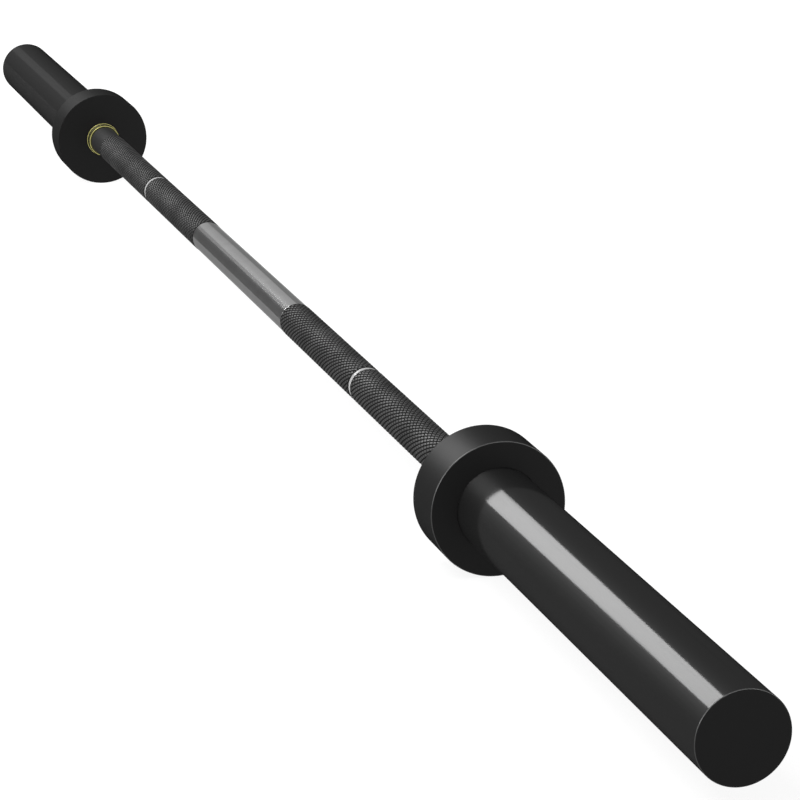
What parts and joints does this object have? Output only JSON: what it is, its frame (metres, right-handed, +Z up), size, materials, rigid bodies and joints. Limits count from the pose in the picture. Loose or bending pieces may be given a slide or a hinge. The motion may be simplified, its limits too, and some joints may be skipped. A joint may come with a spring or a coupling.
{
  "type": "olympic barbell",
  "caption": "Straight steel barbell: a knurled shaft with a smooth centre and ring marks, and at each end a free-turning sleeve with a stop collar that carries weight plates.",
  "frame": {"origin": "middle of the bar's length, on the bar's axis", "axes": "+X along the bar towards the right sleeve, +Z up, +Y across the bar"},
  "size_m": [1.83, 0.082, 0.082],
  "materials": {
    "shaft_steel": "black oxide on the knurled grips, bare satin steel on the smooth centre and ring marks",
    "black_coat": "satin black coating",
    "bronze": "turned bearing bronze",
    "spring_steel": "blackened spring steel",
    "seal_rubber": "matt black rubber"
  },
  "bodies": {
    "shaft": {"shaft": "shaft_steel", "right_shoulder_washer": "bronze", "right_thrust_washer": "bronze", "right_support_ring": "spring_steel", "right_circlip": "spring_steel", "left_shoulder_washer": "bronze", "left_thrust_washer": "bronze", "left_support_ring": "spring_steel", "left_circlip": "spring_steel"},
    "right_sleeve": {"right_sleeve_tube": "black_coat", "right_collar": "black_coat", "right_inner_bush": "bronze", "right_outer_bush": "bronze", "right_end_cap": "black_coat", "right_cap_seal": "seal_rubber"},
    "left_sleeve": {"left_sleeve_tube": "black_coat", "left_collar": "black_coat", "left_inner_bush": "bronze", "left_outer_bush": "bronze", "left_end_cap": "black_coat", "left_cap_seal": "seal_rubber"}
  },
  "joints": [
    {"name": "right_sleeve_spin", "type": "hinge", "parent": "shaft", "child": "right_sleeve", "pos_m": [0.7, 0, 0], "axis": [1, 0, 0], "continuous": true},
    {"name": "left_sleeve_spin", "type": "hinge", "parent": "shaft", "child": "left_sleeve", "pos_m": [-0.7, 0, 0], "axis": [1, 0, 0], "continuous": true}
  ]
}
